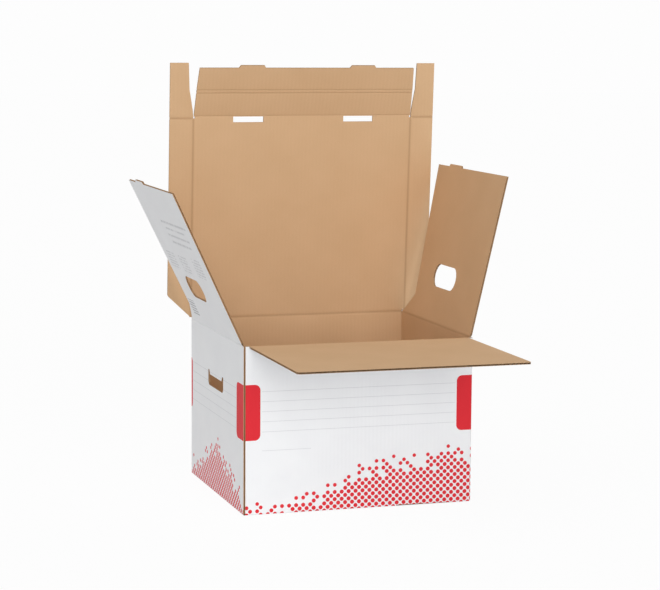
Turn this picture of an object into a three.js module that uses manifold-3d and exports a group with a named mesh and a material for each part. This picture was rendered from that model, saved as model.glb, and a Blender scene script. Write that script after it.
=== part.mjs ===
// Archive transport box of folded corrugated board: an open box with two side liners, a front
// liner and a lid whose strips, lip and tuck panel fold into a rim.
// Millimetres, +Z up. The front faces -Y, and the origin is the middle of the underside.

import * as THREE from 'three';
import { mergeVertices } from 'three/addons/utils/BufferGeometryUtils.js';
import Module from 'manifold-3d';

const wasm = await Module();
wasm.setup();

// Driving dimensions: board and creases
const board = 3; // thickness of the corrugated board
const foldGap = 0.3; // gap between two panels at their shared crease
const creaseRelief = 50; // degrees that the board is crushed back on each side of a rim crease
const seamWidth = 0.6; // visible line between two glued edges
const seamDepth = 1;

// Driving dimensions: box
const boxWidth = 375;
const boxDepth = 332;
const boxHeight = 263;
const glueTabWidth = 35; // tab of the front wall, pressed flat inside the left wall
const glueTabInset = 12; // the tab stops this far from the floor and from the rim
const innerBottomFlap = 120; // the two side bottom flaps lie on the two long ones
const innerBottomCorner = 25;
const bottomFlapPlay = 1;
const bottomSeam = 20; // the long bottom flaps meet this far behind the middle

// Driving dimensions: hand holes
const holeCentreY = 3;
const wallHoleWidth = 94;
const wallHoleHeight = 18;
const wallHoleEar = 11; // width of the cut that runs up on each side of the push-in tab
const wallHoleEarTop = 6.6; // the ear narrows to this at its top
const wallHoleEarRise = 7.5;
const wallHoleCorner = 8;
const linerHoleWidth = 100;
const linerHoleHeight = 38;
const linerHoleStraight = 70;
const wallHoleDrop = 80; // from the rim to the middle of the wall's hand hole
const linerHoleDrop = 78; // from the rim crease to the middle of the liner's hand hole

// Driving dimensions: side liners
const sideLinerShort = 3; // a side liner is this much shorter than the wall is high
const linerPlay = 0.4;
const sideLinerRootInset = 7.5;
const sideLinerWaistInset = 48.5;
const sideLinerWaistHeight = 36;
const sideLinerTopInset = 20.5;
const sideLockTabRise = 4;
const sideLockTabWidth = 56;
const sideLockTabCentre = 67;
const lockTabChamfer = 3; // of every lock tab
const leftLinerLean = 25; // degrees outward from upright
const rightLinerLean = 13;

// Driving dimensions: front liner
const frontLinerLeftInset = 9.5; // from the outside of the left wall
const frontLinerFloorPlay = 0.35;
const frontLinerCorner = 5;
const frontLinerLean = 90;

// Driving dimensions: lid
const lidSideOverhang = 1.5; // the lid is this much wider than the box on each side
const lidOverhang = 6; // and this much longer than the box is deep
const lidLean = -3.5; // degrees outward from upright, so the lid leans forward
const slotWidth = 52;
const slotHeight = 9.6;
const slotFromLip = 0.8;
const slotCentre = 95.5;
const stripWidth = 40;
const stripRootStart = 1.5;
const stripRootEnd = 39;
const stripRootRadius = 8;
const cornerTabSetback = 3.5; // the corner tabs fold this far behind the lip
const cornerTabReach = 87.5; // beyond the lip crease
const cornerTabSlit = 10; // the cut beside the lip is closed this far, then it opens as a V
const cornerTabSlitOffset = 1.4;
const cornerTabVOffset = 7.2;
const cornerTabVHeight = 44;
const cornerTabTopOffset = 9;
const lipLength = 40;
const lipEndInset = 0.7;
const rimBandLength = 5.5;
const rimBandEndInset = 2;
const tuckLength = 38;
const tuckTopInset = 4.4;
const tuckLockTabRise = 4.5;
const tuckLockTabWidth = 46;
const lipFold = 15; // degrees the lip leans further forward than the lid

const halfGap = foldGap / 2;
const halfWidth = boxWidth / 2;
const halfDepth = boxDepth / 2;
const creaseInset = board + halfGap; // a crease turns just inside the inner face of its wall
const rimHeight = boxHeight + halfGap;
const floorHeight = 2 * board;
const lidWidth = boxWidth + 2 * lidSideOverhang; // between the two strip creases
const lidLength = boxDepth + lidOverhang;

// A closed geometry as a solid, and a solid as a geometry
function toSolid(geometry) {
  const bare = geometry.clone();
  bare.deleteAttribute('normal');
  bare.deleteAttribute('uv');
  const merged = mergeVertices(bare, 1e-4);
  return new wasm.Manifold(new wasm.Mesh({
    numProp: 3,
    vertProperties: new Float32Array(merged.attributes.position.array),
    triVerts: new Uint32Array(merged.index.array),
  }));
}

function toGeometry(solid) {
  const mesh = solid.getMesh();
  const geometry = new THREE.BufferGeometry();
  geometry.setAttribute('position', new THREE.BufferAttribute(mesh.vertProperties, 3));
  geometry.setIndex(new THREE.BufferAttribute(mesh.triVerts, 1));
  geometry.computeVertexNormals();
  return geometry;
}

function block(low, high) {
  const size = high.map((value, axis) => value - low[axis]);
  const geometry = new THREE.BoxGeometry(...size);
  geometry.translate(...low.map((value, axis) => value + size[axis] / 2));
  return toSolid(geometry);
}

function outline(points) {
  return new THREE.Shape(points.map(([x, y]) => new THREE.Vector2(x, y)));
}

function extrude(shape, depth) {
  return new THREE.ExtrudeGeometry(shape, { depth, bevelEnabled: false, curveSegments: 8 });
}

// A panel lies in its own frame: its crease is the X axis, it runs away from the crease along +Y,
// and +Z points out of its inner, brown face, which lies half a fold gap below the crease.
function sheet(shape) {
  const geometry = extrude(shape, board);
  geometry.translate(0, 0, -creaseInset);
  return toSolid(geometry);
}

// A tool that cuts the shape right through a panel
function punch(shape) {
  const geometry = extrude(shape, 3 * board);
  geometry.translate(0, 0, -creaseInset - board);
  return toSolid(geometry);
}

// The wedge that the crease takes away on the outer side of a panel that also folds outward
function reliefWedge(reach) {
  const deep = 2 * creaseInset;
  const slope = deep * Math.tan(THREE.MathUtils.degToRad(creaseRelief));
  const geometry = extrude(outline([[0, 0], [-deep, 0], [-deep, slope]]), 2 * reach);
  // the outline's x and y become the panel's z and y
  geometry.applyMatrix4(new THREE.Matrix4().makeBasis(
    new THREE.Vector3(0, 0, 1), new THREE.Vector3(0, 1, 0), new THREE.Vector3(-1, 0, 0)));
  geometry.translate(reach, 0, 0);
  return toSolid(geometry);
}

// The side liner is drawn with the rear of the box on the +X side of its crease.
function sideLiner(rear) {
  const frontEdge = -(halfDepth - board - foldGap - board - linerPlay);
  const length = boxHeight - sideLinerShort;
  const tabLow = sideLockTabCentre - sideLockTabWidth / 2;
  const tabHigh = sideLockTabCentre + sideLockTabWidth / 2;
  const points = [
    [frontEdge, halfGap],
    [frontEdge, length],
    [tabLow, length],
    [tabLow + lockTabChamfer, length + sideLockTabRise],
    [tabHigh - lockTabChamfer, length + sideLockTabRise],
    [tabHigh, length],
    [halfDepth - sideLinerTopInset, length],
    [halfDepth - sideLinerWaistInset, sideLinerWaistHeight],
    [halfDepth - sideLinerRootInset, halfGap],
  ];
  const shape = outline(points.map(([along, away]) => [rear * along, away]));
  const sagitta = (linerHoleWidth - linerHoleStraight) / 2;
  const halfChord = linerHoleHeight / 2;
  const radius = (halfChord ** 2 + sagitta ** 2) / (2 * sagitta);
  const sweep = Math.asin(halfChord / radius);
  const arcCentre = linerHoleWidth / 2 - radius;
  const hole = new THREE.Shape();
  hole.absarc(rear * holeCentreY + arcCentre, linerHoleDrop, radius, -sweep, sweep, false);
  hole.absarc(rear * holeCentreY - arcCentre, linerHoleDrop, radius, Math.PI - sweep, Math.PI + sweep, false);
  return sheet(shape).subtract(punch(hole)).subtract(reliefWedge(boxDepth));
}

// The front liner's crease runs from the right wall, at -X, to the left wall.
function frontLiner() {
  const length = rimHeight - floorHeight - frontLinerFloorPlay;
  const right = -(halfWidth - board - foldGap - board - linerPlay);
  const left = halfWidth - frontLinerLeftInset;
  return sheet(outline([
    [right, halfGap],
    [left, halfGap],
    [left, length - frontLinerCorner],
    [left - frontLinerCorner / 2, length],
    [right + frontLinerCorner / 2, length],
    [right, length - frontLinerCorner],
  ])).subtract(reliefWedge(boxWidth));
}

function lidPanel() {
  const side = lidWidth / 2 - halfGap;
  let panel = sheet(outline([
    [-side, halfGap], [side, halfGap], [side, lidLength - halfGap], [-side, lidLength - halfGap],
  ]));
  const slotTop = lidLength - slotFromLip;
  for (const centre of [-slotCentre, slotCentre]) {
    const low = centre - slotWidth / 2;
    const high = centre + slotWidth / 2;
    panel = panel.subtract(punch(outline([
      [low, slotTop - slotHeight], [high, slotTop - slotHeight], [high, slotTop], [low, slotTop],
    ])));
  }
  return panel.subtract(reliefWedge(lidWidth));
}

// A lid strip's crease is its X axis; the front of the lid is at +X when forward is 1.
function lidStrip(forward) {
  const shape = new THREE.Shape();
  const end = lidLength - cornerTabSetback - halfGap;
  const slope = Math.atan2(stripWidth, stripRootEnd - stripRootStart);
  const pull = stripRootRadius * Math.tan(slope / 2);
  const centreX = stripRootEnd + pull;
  shape.moveTo(forward * stripRootStart, halfGap);
  shape.lineTo(forward * (stripRootEnd - pull * Math.cos(slope)), stripWidth - pull * Math.sin(slope));
  if (forward > 0) {
    shape.absarc(centreX, stripWidth - stripRootRadius, stripRootRadius,
      Math.PI / 2 + slope, Math.PI / 2, true);
  } else {
    shape.absarc(-centreX, stripWidth - stripRootRadius, stripRootRadius,
      Math.PI / 2 - slope, Math.PI / 2, false);
  }
  shape.lineTo(forward * end, stripWidth);
  shape.lineTo(forward * end, halfGap);
  shape.closePath();
  return sheet(shape);
}

// A corner tab's crease is the short one across its strip; the strip's outer edge is at outer times X.
function lidCornerTab(outer) {
  const slitEnd = cornerTabSetback + cornerTabSlit;
  const top = cornerTabSetback + cornerTabReach;
  return sheet(outline([
    [outer * halfGap, halfGap],
    [outer * cornerTabSlitOffset, slitEnd],
    [outer * cornerTabVOffset, cornerTabSetback + cornerTabVHeight],
    [outer * cornerTabTopOffset, top],
    [outer * stripWidth, top],
    [outer * stripWidth, halfGap],
  ]));
}

function lidLip() {
  const root = lidWidth / 2 - lipEndInset;
  const end = lidWidth / 2 - rimBandEndInset;
  return sheet(outline([
    [-root, halfGap], [root, halfGap], [end, lipLength - halfGap], [-end, lipLength - halfGap],
  ]));
}

function lidRimBand() {
  const side = lidWidth / 2 - rimBandEndInset;
  return sheet(outline([
    [-side, halfGap], [side, halfGap], [side, rimBandLength - halfGap], [-side, rimBandLength - halfGap],
  ]));
}

function lidTuckPanel() {
  const root = lidWidth / 2 - rimBandEndInset;
  const top = lidWidth / 2 - tuckTopInset;
  const tab = (centre) => [
    [centre + tuckLockTabWidth / 2, tuckLength],
    [centre + tuckLockTabWidth / 2 - lockTabChamfer, tuckLength + tuckLockTabRise],
    [centre - tuckLockTabWidth / 2 + lockTabChamfer, tuckLength + tuckLockTabRise],
    [centre - tuckLockTabWidth / 2, tuckLength],
  ];
  return sheet(outline([
    [-root, halfGap], [root, halfGap], [top, tuckLength],
    ...tab(slotCentre), ...tab(-slotCentre),
    [-top, tuckLength],
  ]));
}

// The hand hole of a side wall, drawn with the box's rear at +X and up at +Y
function wallHoleShape() {
  const side = wallHoleWidth / 2;
  const middle = boxHeight - wallHoleDrop;
  const low = middle - wallHoleHeight / 2 - wallHoleEarRise / 2;
  const high = low + wallHoleHeight;
  const ear = high + wallHoleEarRise;
  const shape = new THREE.Shape();
  shape.moveTo(-side + wallHoleCorner, low);
  shape.lineTo(side - wallHoleCorner, low);
  shape.absarc(side - wallHoleCorner, low + wallHoleCorner, wallHoleCorner, -Math.PI / 2, 0, false);
  shape.lineTo(side, ear);
  shape.lineTo(side - wallHoleEarTop, ear);
  shape.lineTo(side - wallHoleEar, high);
  shape.lineTo(-side + wallHoleEar, high);
  shape.lineTo(-side + wallHoleEarTop, ear);
  shape.lineTo(-side, ear);
  shape.lineTo(-side, low + wallHoleCorner);
  shape.absarc(-side + wallHoleCorner, low + wallHoleCorner, wallHoleCorner, Math.PI, 1.5 * Math.PI, false);
  return shape;
}

// A liner's or lid's crease at the rim: heading turns the frame about +Z, and lean opens it outward
function rimFrame(heading, lean) {
  const turned = new THREE.Group();
  turned.rotation.z = THREE.MathUtils.degToRad(heading);
  const hinge = new THREE.Group();
  hinge.rotation.x = THREE.MathUtils.degToRad(90 - lean);
  turned.add(hinge);
  return { turned, hinge };
}

const headings = { rear: 0, left: 90, front: 180, right: -90 };

// The body is one blank, folded and glued: four walls, the glue tab and the bottom flaps.
function boxBody() {
  const innerX = halfWidth - board;
  const innerY = halfDepth - board;
  let body = block([-halfWidth, -halfDepth, 0], [halfWidth, halfDepth, boxHeight]);
  body = body.subtract(block([-innerX, -innerY, board], [innerX, innerY, boxHeight + board]));

  for (const side of [-1, 1]) {
    const flap = extrude(outline([
      [innerX + board / 2, -innerY + bottomFlapPlay],
      [innerX + board / 2, innerY - bottomFlapPlay],
      [innerX - innerBottomFlap + innerBottomCorner, innerY - bottomFlapPlay],
      [innerX - innerBottomFlap, innerY - bottomFlapPlay - innerBottomCorner],
      [innerX - innerBottomFlap, -innerY + bottomFlapPlay + innerBottomCorner],
      [innerX - innerBottomFlap + innerBottomCorner, -innerY + bottomFlapPlay],
    ].map(([x, y]) => [side * x, y])), 1.5 * board);
    flap.translate(0, 0, board / 2);
    body = body.add(toSolid(flap));
  }

  // the crushed creases along the rim
  for (const [name, heading] of Object.entries(headings)) {
    const across = name === 'left' || name === 'right' ? halfWidth : halfDepth;
    const reach = 2 * Math.max(boxWidth, boxDepth);
    const { turned, hinge } = rimFrame(heading, 0);
    // the wedge of a wall is the wedge of its panel, turned over at the crease
    const placed = new THREE.Group();
    placed.rotation.z = Math.PI;
    hinge.position.set(0, across - creaseInset, rimHeight);
    hinge.add(placed);
    turned.updateMatrixWorld(true);
    body = body.subtract(reliefWedge(reach).transform(placed.matrixWorld.toArray()));
  }

  // the line where the two long bottom flaps meet
  body = body.subtract(block(
    [-innerX, bottomSeam - seamWidth / 2, -board], [innerX, bottomSeam + seamWidth / 2, board + halfGap]));

  // the glued corner: the left wall's cut end shows at the front, and the tab's edge inside
  body = body.subtract(block(
    [-innerX, -halfDepth - board, -board],
    [-innerX + seamWidth, -halfDepth + seamDepth, boxHeight + board]));
  body = body.subtract(block(
    [-innerX - seamDepth / 2, -innerY + glueTabWidth, floorHeight + glueTabInset],
    [-innerX + board, -innerY + glueTabWidth + seamWidth, boxHeight - glueTabInset]));

  const hole = extrude(wallHoleShape(), 2 * boxWidth);
  hole.applyMatrix4(new THREE.Matrix4().makeBasis(
    new THREE.Vector3(0, 1, 0), new THREE.Vector3(0, 0, 1), new THREE.Vector3(1, 0, 0)));
  hole.translate(-boxWidth, holeCentreY, 0);
  return body.subtract(toSolid(hole));
}

const white = { color: 0xdfe1e6, roughness: 0.62, metalness: 0 };
const kraft = { color: 0xc39c70, roughness: 0.85, metalness: 0 };

function piece(name, solid, finish) {
  const mesh = new THREE.Mesh(toGeometry(solid), new THREE.MeshStandardMaterial(finish));
  mesh.name = name;
  return mesh;
}

function linerAtRim(name, solid, finish, heading, across, lean) {
  const { turned, hinge } = rimFrame(heading, lean);
  hinge.position.set(0, across - creaseInset, rimHeight);
  hinge.add(piece(name, solid, finish));
  return { turned, hinge };
}

const box = new THREE.Group();
box.name = 'archive_transport_box';
box.add(piece('box_body', boxBody(), white));
box.add(linerAtRim('left_side_liner', sideLiner(1), white, headings.left, halfWidth, leftLinerLean).turned);
box.add(linerAtRim('right_side_liner', sideLiner(-1), kraft, headings.right, halfWidth, rightLinerLean).turned);
box.add(linerAtRim('front_liner', frontLiner(), kraft, headings.front, halfDepth, frontLinerLean).turned);

const lid = linerAtRim('lid_panel', lidPanel(), kraft, headings.rear, halfDepth, lidLean);
box.add(lid.turned);

for (const [name, side] of [['left', -1], ['right', 1]]) {
  // a strip's frame: the left one has the lid's front at +X, the right one at -X
  const strip = new THREE.Group();
  strip.position.set(side * lidWidth / 2, 0, 0);
  strip.rotation.z = -side * Math.PI / 2;
  strip.add(piece(`lid_${name}_strip`, lidStrip(-side), kraft));
  const cornerTab = new THREE.Group();
  cornerTab.position.set(-side * (lidLength - cornerTabSetback), 0, 0);
  cornerTab.rotation.z = side * Math.PI / 2;
  cornerTab.add(piece(`lid_${name}_corner_tab`, lidCornerTab(side), kraft));
  strip.add(cornerTab);
  lid.hinge.add(strip);
}

const lip = new THREE.Group();
lip.position.set(0, lidLength, 0);
lip.rotation.x = THREE.MathUtils.degToRad(lipFold);
lip.add(piece('lid_lip', lidLip(), kraft));
const rimBand = new THREE.Group();
rimBand.position.set(0, lipLength, 0);
rimBand.add(piece('lid_rim_band', lidRimBand(), kraft));
const tuck = new THREE.Group();
tuck.position.set(0, rimBandLength, 0);
tuck.add(piece('lid_tuck_panel', lidTuckPanel(), kraft));
rimBand.add(tuck);
lip.add(rimBand);
lid.hinge.add(lip);

export default box;
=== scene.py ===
from math import atan2, ceil, cos, hypot, pi, radians, sin, tan

import bmesh
import bpy
from mathutils import Matrix, Vector
from mathutils.geometry import delaunay_2d_cdt
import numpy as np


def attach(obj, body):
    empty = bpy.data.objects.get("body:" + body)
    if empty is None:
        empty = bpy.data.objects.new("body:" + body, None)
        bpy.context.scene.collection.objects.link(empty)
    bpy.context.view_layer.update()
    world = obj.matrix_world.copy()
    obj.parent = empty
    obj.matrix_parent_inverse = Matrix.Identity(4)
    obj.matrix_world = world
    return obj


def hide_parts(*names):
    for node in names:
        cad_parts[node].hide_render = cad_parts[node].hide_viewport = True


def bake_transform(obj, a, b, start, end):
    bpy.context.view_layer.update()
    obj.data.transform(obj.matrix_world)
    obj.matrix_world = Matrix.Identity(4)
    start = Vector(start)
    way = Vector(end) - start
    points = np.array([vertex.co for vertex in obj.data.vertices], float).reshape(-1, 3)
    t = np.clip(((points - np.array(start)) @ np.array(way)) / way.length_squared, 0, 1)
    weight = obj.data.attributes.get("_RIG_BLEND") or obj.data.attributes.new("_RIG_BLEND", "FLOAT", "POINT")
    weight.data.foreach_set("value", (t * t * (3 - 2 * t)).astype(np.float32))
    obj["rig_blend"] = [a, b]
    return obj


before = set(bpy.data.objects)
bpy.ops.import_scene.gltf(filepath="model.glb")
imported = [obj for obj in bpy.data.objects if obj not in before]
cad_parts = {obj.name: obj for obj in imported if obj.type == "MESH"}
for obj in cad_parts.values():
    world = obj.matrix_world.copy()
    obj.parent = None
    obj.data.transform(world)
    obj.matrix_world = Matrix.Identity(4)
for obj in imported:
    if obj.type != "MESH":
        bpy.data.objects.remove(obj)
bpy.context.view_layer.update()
print("frame loaded:", len(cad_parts), "solids")

# sizes are in millimetres and angles in degrees, up to the meshes, which are in metres

board = {
    "thickness": 3.0,
    "gap": 0.15,  # the inner face lies this far below a crease
    "paper": 0.28,
    "flutePitch": 6.4,
    "flutePaper": 0.24,
    "fluteSteps": 8,  # faces along one flute
    "fluteSink": 0.6,  # how much of a liner's paper the wave reaches into
}
box = {"width": 375.0, "depth": 332.0, "height": 263.0}
halfWidth, halfDepth = box["width"] / 2, box["depth"] / 2
rim = box["height"] + board["gap"]
inset = board["thickness"] + board["gap"]
outerFace = -inset
innerFace = -board["gap"]
waveLow = outerFace + board["fluteSink"] * board["paper"]
waveHigh = innerFace - board["fluteSink"] * board["paper"]


def creaseKind(inner, outer, end, flutes, **more):
    # depth and reach of the pressed line in each face, then how far from it the two liners, the bending strip
    # outside and the fluting end
    return {"inner": inner, "outer": outer, "innerEnd": end, "outerEnd": end, "strip": end, "flutes": flutes, **more}


creaseKinds = {
    "rim": creaseKind((0.35, 4.2), (3.15, 3.75), 3.75, 4.6, outerEnd=0.75, strip=3.9),
    "side": creaseKind((0.42, 4.2), (0.35, 3.6), 2.4, 3.0),
    "lidSlot": creaseKind((0.3, 0.7), (0.2, 0.7), 0.45, 0.7),
    "lip": creaseKind((0.3, 3.0), (0.3, 3.0), 1.6, 2.0),
    "band": creaseKind((0.35, 2.4), (0.3, 2.4), 1.3, 1.6),
}
bevelDepth = 1.0  # a line pressed deeper than this is a straight bevel


def pressLine(kind, at=(0, 0), away=(0, 1), **more):
    # a pressed line on a panel: a point on it, and which way the board lies
    return {"at": at, "away": away, **creaseKinds[kind], **more}


def panelOf(place, outline, creases, holes=(), phase=0.0, flutes="along", **more):
    return {"frame": place, "outline": outline, "creases": creases, "holes": list(holes), "phase": phase,
            "flutes": flutes, **more}


def trapezoid(root, end, high):
    return [(-root, 0.0), (root, 0.0), (end, high), (-end, high)]


def mirrored(points, sign):
    # an outline for one side or the other, so that both run the same way round
    return [(sign * x, y) for x, y in points[::-sign]]


def arc(x, y, radius, start, sweep, steps):
    angles = [start + sweep * step / steps for step in range(steps + 1)]
    return [(x + radius * cos(angle), y + radius * sin(angle)) for angle in angles]


def added(name, data):
    made = bpy.data.objects.new(name, data)
    bpy.context.scene.collection.objects.link(made)
    return made


def smooth(t):
    t = min(1.0, max(0.0, t))
    return t * t * (3 - 2 * t)


def dipAt(depth, reach, distance):
    share = max(0.0, (reach - distance) / reach)
    return depth * (share if depth > bevelDepth else smooth(share))


def rimFrame(heading, lean):
    # the crease is the X axis, the panel runs along +Y and its brown inner face looks along +Z
    across = (halfWidth if heading in (90, -90) else halfDepth) - inset
    turned = Matrix.Rotation(radians(heading), 4, "Z")
    return turned @ Matrix.Translation((0, across, rim)) @ Matrix.Rotation(radians(90 - lean), 4, "X")


# nodes and shader maths


def maths(operation, swapped=False):
    def method(self, *others):
        values = (self, *others)
        return self.wiring.number(operation, *(values[::-1] if swapped else values))

    return method


class Signal:
    # a number on a socket, so that patterns read as sums
    def __init__(self, wiring, link):
        self.wiring = wiring
        self.link = link

    __add__ = __radd__ = maths("ADD")
    __mul__ = __rmul__ = maths("MULTIPLY")
    __sub__, __rsub__ = maths("SUBTRACT"), maths("SUBTRACT", swapped=True)
    __truediv__, __rtruediv__ = maths("DIVIDE"), maths("DIVIDE", swapped=True)
    __lt__, __gt__ = maths("LESS_THAN"), maths("GREATER_THAN")
    size, sine, root = maths("ABSOLUTE"), maths("SINE"), maths("SQRT")
    nearest, roundedUp = maths("ROUND"), maths("CEIL")
    least, most = maths("MINIMUM"), maths("MAXIMUM")

    def clamped(self):
        return self.least(1.0).most(0.0)


class Wiring:
    # adds nodes to one tree: a material's, the world's or a Geometry Nodes group's
    def __init__(self, tree):
        self.tree = tree
        tree.nodes.clear()

    def node(self, kind, settings=None, values=None):
        made = self.tree.nodes.new(kind)
        for name, value in (settings or {}).items():
            setattr(made, name, value)
        for name, value in (values or {}).items():
            for one in value if isinstance(value, list) else [value]:
                self.feed(made.inputs[name], one)
        return made

    def feed(self, socket, value):
        if isinstance(value, Signal):
            value = value.link
        if isinstance(value, bpy.types.NodeSocket):
            self.tree.links.new(value, socket)
        else:
            socket.default_value = value

    def number(self, operation, *values):
        made = self.node("ShaderNodeMath", {"operation": operation}, dict(enumerate(values)))
        return Signal(self, made.outputs[0])

    def point(self, x=0.0, y=0.0, z=0.0):
        return self.node("ShaderNodeCombineXYZ", values={0: x, 1: y, 2: z}).outputs[0]


class Finish(Wiring):
    # one material and the nodes it is made of
    def __init__(self, name, look):
        self.material = bpy.data.materials.new(name)
        self.material.use_nodes = True
        super().__init__(self.material.node_tree)
        self.look = look
        self.shader = self.node("ShaderNodeBsdfPrincipled")
        self.node("ShaderNodeOutputMaterial", values={"Surface": self.shader.outputs[0]})

    def noise(self, place, pattern):
        made = self.node("ShaderNodeTexNoise", values={
            "Vector": place, "Scale": pattern["scale"], "Detail": pattern["detail"],
            "Roughness": pattern.get("roughness", 0.5)})
        return Signal(self, made.outputs[0])

    def chance(self, x, y):
        made = self.node("ShaderNodeTexWhiteNoise", {"noise_dimensions": "2D"}, {"Vector": self.point(x, y)})
        return Signal(self, made.outputs[0])

    def mix(self, share, first, second):
        return self.node("ShaderNodeMix", {"data_type": "RGBA"}, {0: share, 6: first, 7: second}).outputs[2]

    def mottled(self, first, second):
        # two noises mixed into a share of the dark and the light tone
        weights = self.look["weights"]
        share = ((first - 0.5) * weights[0] + (second - 0.5) * weights[1] + 0.5).clamped()
        return self.mix(share, self.look["dark"], self.look["light"])

    def done(self, base, roughness, height):
        bump = self.node("ShaderNodeBump", values={"Height": height, "Distance": 0.001, "Strength": 1.0})
        for name, value in (("Base Color", base), ("Roughness", roughness), ("Normal", bump.outputs[0]),
                            ("Specular IOR Level", self.look["specular"])):
            self.feed(self.shader.inputs[name], value)
        return self.material


class Paper(Finish):
    # a face of the board: soft patches, fibres along the flutes, and what is printed on it or painted on it as crease
    # shade
    def __init__(self, name, look):
        super().__init__(name, look)
        sheet = self.node("ShaderNodeUVMap", {"uv_map": "sheet"}).outputs[0]
        place = self.node("ShaderNodeSeparateXYZ", values={0: sheet}).outputs
        self.across, self.along = Signal(self, place[0]) * 1000.0, Signal(self, place[1]) * 1000.0
        self.fibres = self.grain("fibres")
        self.flute = (self.across * (2 * pi / board["flutePitch"])).sine()
        self.base = self.mottled(self.grain("patches") + self.flute * look["fluteLine"], self.fibres)

    def grain(self, name):
        pattern = self.look[name]
        across, along = pattern.get("stretch", (1.0, 1.0))
        return self.noise(self.point(self.across * across, self.along * along, pattern.get("seed", 0.0)), pattern)

    def ink(self, mask, tone):
        self.base = self.mix(mask, self.base, tone)

    def block(self, centre, half, radius=0.0):
        # 1 inside a rectangle with round corners
        sideways = (self.across - centre[0]).size() - (half[0] - radius)
        upward = (self.along - centre[1]).size() - (half[1] - radius)
        if not radius:
            return (sideways < 0.0) * (upward < 0.0)
        sideways, upward = sideways.most(0.0), upward.most(0.0)
        return (sideways * sideways + upward * upward).root() < radius

    def faceDone(self):
        look = self.look
        roughness = self.fibres * look["roughSpread"] + (look["roughness"] - look["roughSpread"] / 2)
        return self.done(self.base, roughness, self.fibres * look["fibreDepth"] + self.flute * look["fluteDepth"])


def anyOf(masks):
    total = masks[0]
    for mask in masks[1:]:
        total = total.most(mask)
    return total


def colour(red, green, blue):
    # from the 0 to 255 values that a screen shows
    def linear(value):
        value /= 255
        return value / 12.92 if value <= 0.04045 else ((value + 0.055) / 1.055) ** 2.4

    return (linear(red), linear(green), linear(blue), 1.0)


kraft = {
    "light": colour(217, 181, 142),
    "dark": colour(203, 166, 126),
    "patches": {"scale": 0.012, "detail": 3.0},
    "fibres": {"stretch": (0.35, 1.6), "scale": 1.0, "detail": 4.0, "roughness": 0.62},
    "weights": (0.8, 1.1),
    "flecks": {"stretch": (0.9, 0.5), "seed": 7.0, "scale": 1.0, "detail": 2.0},
    "fleckTone": colour(158, 120, 84),
    "fleckFrom": 0.70,
    "fleckGain": 9.0,
    "fleckShare": 0.35,
    "fluteLine": 0.0375,
    "fluteDepth": 0.018,
    "fibreDepth": 0.05,
    # painted shade: creases get a darker tone by how deep they are pressed, standing in for the shade in their grooves
    "fullShadeDepth": 0.4,  # how deep a crease is pressed where its painted shade is darkest
    "creaseShadeTone": colour(158, 119, 82),
    "creaseShadeShare": 0.42,
    "roughness": 0.82,
    "roughSpread": 0.16,
    "specular": 0.3,
}
paper = {
    "light": colour(241, 242, 243),
    "dark": colour(235, 236, 238),
    "patches": {"scale": 0.02, "detail": 3.0},
    "fibres": {"stretch": (0.5, 1.2), "scale": 1.1, "detail": 3.0, "roughness": 0.6},
    "weights": (1.4, 0.7),
    "fluteLine": 0.0,
    "fluteDepth": 0.02,
    "fibreDepth": 0.018,
    "roughness": 0.58,
    "roughSpread": 0.14,
    "specular": 0.25,
    "red": colour(217, 34, 46),
    "redLight": colour(221, 40, 52),
    "redMottle": 0.5,
    "redShare": 0.25,
    "grey": colour(196, 197, 201),
    "noteGrey": colour(172, 173, 176),
    "worn": colour(128, 100, 76),
}
cutBoard = {
    "grain": {"scale": 900.0, "detail": 4.0, "roughness": 0.65},
    "patches": {"scale": 60.0, "detail": 2.0},
    "weights": (1.3, 0.8),
    "grainDepth": 0.12,
    "roughness": 0.92,
    "specular": 0.2,
}


def kraftFinish(name):
    finish = Paper(name, kraft)
    flecks = ((finish.grain("flecks") - kraft["fleckFrom"]) * kraft["fleckGain"]).clamped()
    finish.ink(flecks * kraft["fleckShare"], kraft["fleckTone"])
    # painted shade along the creases, darker the deeper the board is pressed
    press = Signal(finish, finish.node("ShaderNodeAttribute", {"attribute_name": "press"}).outputs["Fac"])
    finish.ink((press * press * kraft["creaseShadeShare"]).clamped(), kraft["creaseShadeTone"])
    return finish.faceDone()


def cutFinish(name, dark, light):
    # cut or torn board, rougher than its face
    finish = Finish(name, {**cutBoard, "dark": dark, "light": light})
    place = finish.node("ShaderNodeTexCoord").outputs["Object"]
    grain = finish.noise(place, cutBoard["grain"])
    base = finish.mottled(grain, finish.noise(place, cutBoard["patches"]))
    return finish.done(base, cutBoard["roughness"], grain * cutBoard["grainDepth"])


boxPrint = {
    # the walls are drawn unrolled: 0 is the middle of the front wall, the left wall lies to its left
    "labels": [((-194.5, 160.0), (33.9, 43.5)), ((193.6, 160.0), (32.6, 44.0)), ((-534.5, 156.0), (26.0, 42.0)),
               ((534.5, 156.0), (26.0, 42.0)), ((879.5, 156.0), (26.0, 42.0))],
    "labelRadius": 9.0,
    "lines": [192.3, 176.7, 161.1, 145.4, 129.5],
    "lineSpans": [(0.0, 158.5), (-368.0, 138.0), (368.0, 138.0)],
    "lineHalf": 0.42,
    "lineShare": 0.55,
    "shortLine": ((-118.5, 100.0), (39.5, 0.4)),
    "worn": [((109.5, 0.0), (47.5, 1.3)), ((84.5, 0.0), (22.5, 1.9))],  # bare board along the front bottom edge
    "around": 1414.0,
    "leftWall": 894.5,
    "dotPitch": 1414.0 / 124,
    "dotRadius": 3.35,
    "dotRadiusLeast": 2.8,
    "dotGrowth": 0.6,
    "dotRows": [(0.0, 11.0), (0.5, 57.0)],  # shift of a net of dots, and the seed of its chances
    "edge": 42.0,
    "fade": 40.0,
    # waves round the box, height and shift
    "edgeWaves": [(1, 11.1, 1.09), (2, 11.3, -0.13), (3, 19.5, -0.48), (4, 11.0, 1.38), (5, 4.6, 2.81), (11, 4.0, 0.4)],
}


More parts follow.
